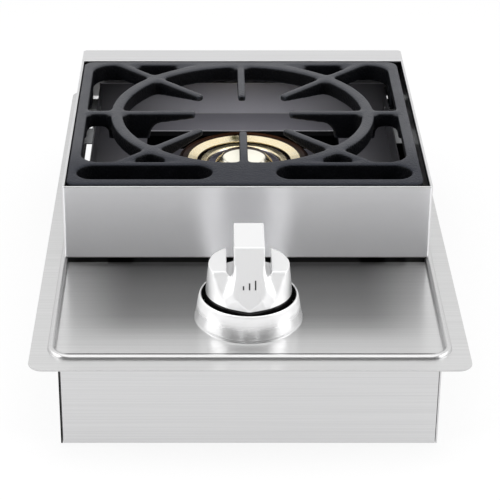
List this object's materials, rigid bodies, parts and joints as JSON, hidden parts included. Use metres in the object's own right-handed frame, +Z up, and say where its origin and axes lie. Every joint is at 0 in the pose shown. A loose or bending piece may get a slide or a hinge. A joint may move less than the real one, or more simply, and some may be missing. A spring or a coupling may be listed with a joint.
{
  "type": "side burner",
  "caption": "Drop-in gas side burner with a flanged steel pan, a raised box, a cast iron grate, a brass burner and a push-and-turn knob.",
  "frame": {"origin": "middle of the underside of the lower body, at the level it stands on", "axes": "+Z up, -Y towards the knob at the front, +X to the right seen from the front"},
  "size_m": [0.318, 0.508, 0.1394],
  "materials": {
    "pan_steel": "brushed stainless steel",
    "box_steel": "brushed stainless steel",
    "body_steel": "satin stainless steel",
    "liner_steel": "dark polished steel",
    "zinc_steel": "zinc plated steel",
    "spring_steel": "bright steel wire",
    "grate_iron": "matte enamelled cast iron",
    "burner_iron": "raw cast iron",
    "burner_brass": "polished brass",
    "tap_brass": "machined brass",
    "pipe_aluminium": "drawn tube",
    "knob_chrome": "satin chrome on die-cast metal",
    "mark_paint": "black paint fill",
    "ceramic": "glazed ceramic",
    "wire_rubber": "silicone insulation",
    "module_plastic": "moulded plastic"
  },
  "bodies": {
    "housing": {"top_pan": "pan_steel", "raised_box": "box_steel", "front_panel": "body_steel", "rear_panel": "body_steel", "left_panel": "body_steel", "right_panel": "body_steel", "base_tray": "body_steel", "burner_liner": "liner_steel", "liner_brackets": "zinc_steel", "heat_shield": "liner_steel", "burner_bowl": "burner_iron", "burner_bracket": "zinc_steel", "venturi_tube": "burner_iron", "gas_orifice": "tap_brass", "tap_body": "tap_brass", "tap_bonnet": "tap_brass", "return_spring": "spring_steel", "tap_bracket": "zinc_steel", "gas_pipe": "pipe_aluminium", "pipe_nut": "tap_brass", "inlet_fitting": "tap_brass", "inlet_nut": "tap_brass", "spark_ceramic": "ceramic", "spark_tip": "spring_steel", "spark_bracket": "zinc_steel", "spark_wire": "wire_rubber", "spark_module": "module_plastic", "spark_switch": "module_plastic", "switch_wire": "wire_rubber", "bezel": "knob_chrome", "box_screws": "zinc_steel", "bezel_screws": "zinc_steel", "bracket_screws": "zinc_steel", "tap_screws": "zinc_steel", "burner_screws": "zinc_steel", "body_screws": "zinc_steel", "liner_screws": "zinc_steel"},
    "grate": {"grate": "grate_iron"},
    "burner_head": {"burner_head": "burner_brass"},
    "burner_cap": {"burner_cap": "burner_brass"},
    "air_shutter": {"air_shutter": "zinc_steel"},
    "push_collar": {"push_collar": "zinc_steel"},
    "knob": {"knob": "knob_chrome", "knob_mark": "mark_paint", "knob_clip": "spring_steel", "tap_stem": "zinc_steel", "stem_clip": "spring_steel"},
    "tap_plug": {"tap_plug": "tap_brass"}
  },
  "joints": [
    {"name": "grate_lift", "type": "slide", "parent": "housing", "child": "grate", "axis": [0, 0, 1], "range_m": [0, 0.12]},
    {"name": "head_lift", "type": "slide", "parent": "housing", "child": "burner_head", "axis": [0, 0, 1], "range_m": [0, 0.025]},
    {"name": "cap_lift", "type": "slide", "parent": "burner_head", "child": "burner_cap", "axis": [0, 0, 1], "range_m": [0, 0.012]},
    {"name": "shutter_turn", "type": "hinge", "parent": "housing", "child": "air_shutter", "pos_m": [0, -0.145, 0.044], "axis": [0, 1, 0], "range_deg": [-45, 45]},
    {"name": "knob_push", "type": "slide", "parent": "housing", "child": "push_collar", "axis": [0, 0, -1], "range_m": [0, 0.004], "stiffness_N_per_m": 3000, "springref_m": -0.004, "deforming": ["return_spring"]},
    {"name": "knob_turn", "type": "hinge", "parent": "push_collar", "child": "knob", "pos_m": [0, -0.1725, 0.1], "axis": [0, 0, 1], "range_deg": [0, 240]},
    {"name": "plug_turn", "type": "hinge", "parent": "housing", "child": "tap_plug", "pos_m": [0, -0.1725, 0.044], "axis": [0, 0, 1], "range_deg": [0, 240]}
  ],
  "couplings": [
    {"joint": "plug_turn", "follows": "knob_turn", "ratio": 1}
  ]
}
